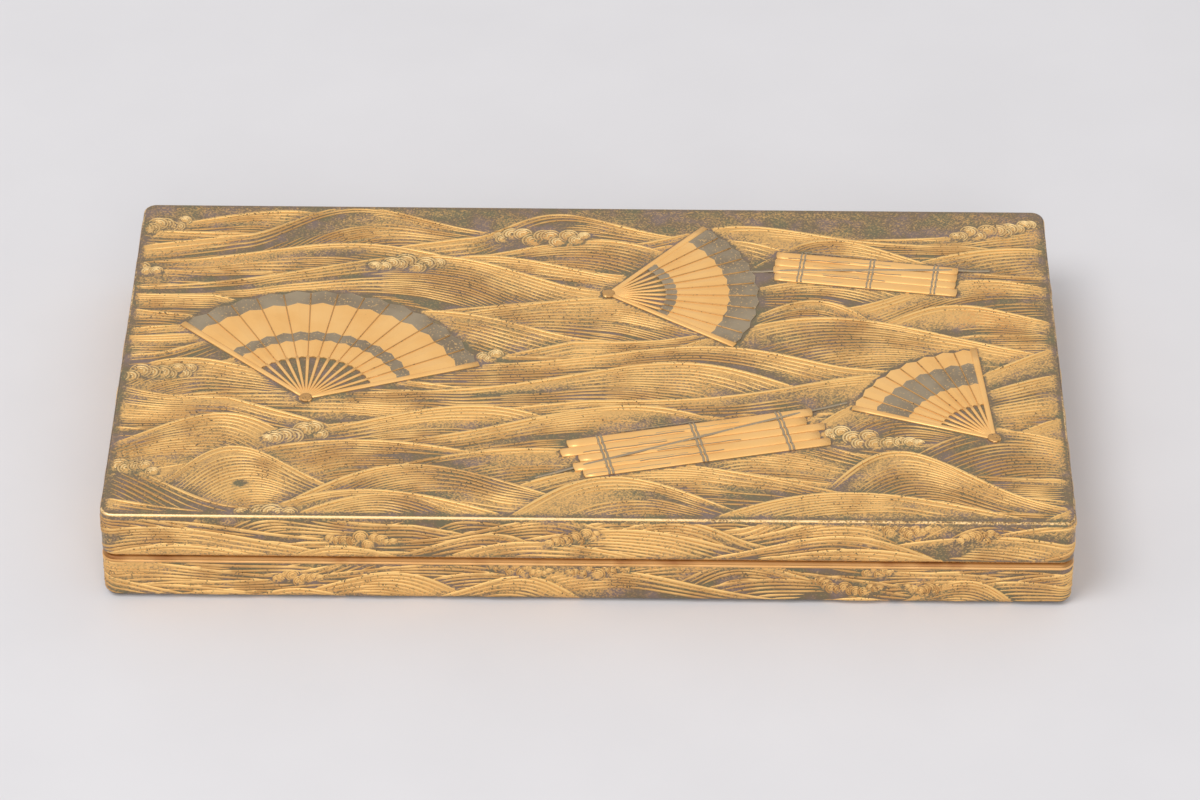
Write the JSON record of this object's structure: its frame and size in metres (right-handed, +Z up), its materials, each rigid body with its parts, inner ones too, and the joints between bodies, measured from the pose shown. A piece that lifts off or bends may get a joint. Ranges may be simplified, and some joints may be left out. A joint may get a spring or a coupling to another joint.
{
  "type": "lacquered writing box",
  "caption": "Flat rectangular lacquered writing box with a flush lift-off lid, holding a fitted board with inkstone and water dropper, and a tray of brushes, knife and ink stick.",
  "frame": {"origin": "on the underside of the base, below the middle of the box", "axes": "+X along the box's length, to the right as seen from the front; +Y from the front to the back; +Z up, the way the lid lifts"},
  "size_m": [0.22, 0.122, 0.024],
  "materials": {
    "gold_lacquered_wood": "gold maki-e lacquer over wood, satin",
    "sprinkled_lacquer": "gold-sprinkled clear lacquer over wood, gloss",
    "slate": "smooth ground slate, matt",
    "patinated_bronze": "cast, brown patina, satin",
    "brush_lacquer": "gold-sprinkled lacquer over bamboo, gloss",
    "brush_hair": "dry animal hair",
    "gilt_brass": "gilt, satin",
    "blade_steel": "ground steel",
    "ink_cake": "pressed soot and glue, satin black"
  },
  "bodies": {
    "base": {"base_back_wall": "gold_lacquered_wood", "base_front_wall": "gold_lacquered_wood", "base_left_wall": "gold_lacquered_wood", "base_panel": "sprinkled_lacquer", "base_right_wall": "gold_lacquered_wood", "lip_back": "sprinkled_lacquer", "lip_front": "sprinkled_lacquer", "lip_left": "sprinkled_lacquer", "lip_right": "sprinkled_lacquer"},
    "lid": {"lid_back_wall": "gold_lacquered_wood", "lid_front_wall": "gold_lacquered_wood", "lid_left_wall": "gold_lacquered_wood", "lid_right_wall": "gold_lacquered_wood", "lid_top_panel": "gold_lacquered_wood"},
    "board": {"fitted_board": "sprinkled_lacquer"},
    "inkstone": {"inkstone": "slate"},
    "dropper": {"dropper_shell": "patinated_bronze", "dropper_plate": "patinated_bronze"},
    "tray": {"first_rest": "sprinkled_lacquer", "second_rest": "sprinkled_lacquer", "tray_back_wall": "sprinkled_lacquer", "tray_floor": "sprinkled_lacquer", "tray_front_wall": "sprinkled_lacquer", "tray_left_wall": "sprinkled_lacquer", "tray_right_wall": "sprinkled_lacquer"},
    "large_brush": {"large_brush_shaft": "brush_lacquer", "large_brush_tuft": "brush_hair"},
    "large_brush_cap": {"large_brush_cap": "brush_lacquer"},
    "small_brush": {"small_brush_shaft": "brush_lacquer", "small_brush_tuft": "brush_hair"},
    "small_brush_cap": {"small_brush_cap": "brush_lacquer"},
    "knife": {"knife_handle": "brush_lacquer", "knife_collar": "gilt_brass", "knife_blade": "blade_steel"},
    "ink_stick": {"ink_stick": "ink_cake"}
  },
  "joints": [
    {"name": "lid_lift", "type": "slide", "parent": "base", "child": "lid", "axis": [0, 0, 1], "range_m": [0, 0.12]},
    {"name": "brush_tray_lift", "type": "slide", "parent": "base", "child": "tray", "axis": [0, 0, 1], "range_m": [0, 0.054]},
    {"name": "large_brush_lift", "type": "slide", "parent": "tray", "child": "large_brush", "axis": [0, 0, 1], "range_m": [0, 0.024]},
    {"name": "small_brush_lift", "type": "slide", "parent": "tray", "child": "small_brush", "axis": [0, 0, 1], "range_m": [0, 0.024]},
    {"name": "knife_lift", "type": "slide", "parent": "tray", "child": "knife", "axis": [0, 0, 1], "range_m": [0, 0.024]},
    {"name": "ink_stick_lift", "type": "slide", "parent": "tray", "child": "ink_stick", "axis": [0, 0, 1], "range_m": [0, 0.024]},
    {"name": "board_lift", "type": "slide", "parent": "base", "child": "board", "axis": [0, 0, 1], "range_m": [0, 0.03]},
    {"name": "inkstone_lift", "type": "slide", "parent": "board", "child": "inkstone", "axis": [0, 0, 1], "range_m": [0, 0.03]},
    {"name": "dropper_lift", "type": "slide", "parent": "board", "child": "dropper", "axis": [0, 0, 1], "range_m": [0, 0.036]},
    {"name": "large_cap_pull", "type": "slide", "parent": "large_brush", "child": "large_brush_cap", "axis": [1, 0, 0], "range_m": [0, 0.036]},
    {"name": "small_cap_pull", "type": "slide", "parent": "small_brush", "child": "small_brush_cap", "axis": [1, 0, 0], "range_m": [0, 0.031]}
  ],
  "couplings": [
    {"joint": "brush_tray_lift", "follows": "lid_lift", "ratio": 0.45},
    {"joint": "large_brush_lift", "follows": "lid_lift", "ratio": 0.2},
    {"joint": "small_brush_lift", "follows": "lid_lift", "ratio": 0.2},
    {"joint": "knife_lift", "follows": "lid_lift", "ratio": 0.2},
    {"joint": "ink_stick_lift", "follows": "lid_lift", "ratio": 0.2},
    {"joint": "board_lift", "follows": "lid_lift", "ratio": 0.25},
    {"joint": "inkstone_lift", "follows": "lid_lift", "ratio": 0.25},
    {"joint": "dropper_lift", "follows": "lid_lift", "ratio": 0.3}
  ]
}
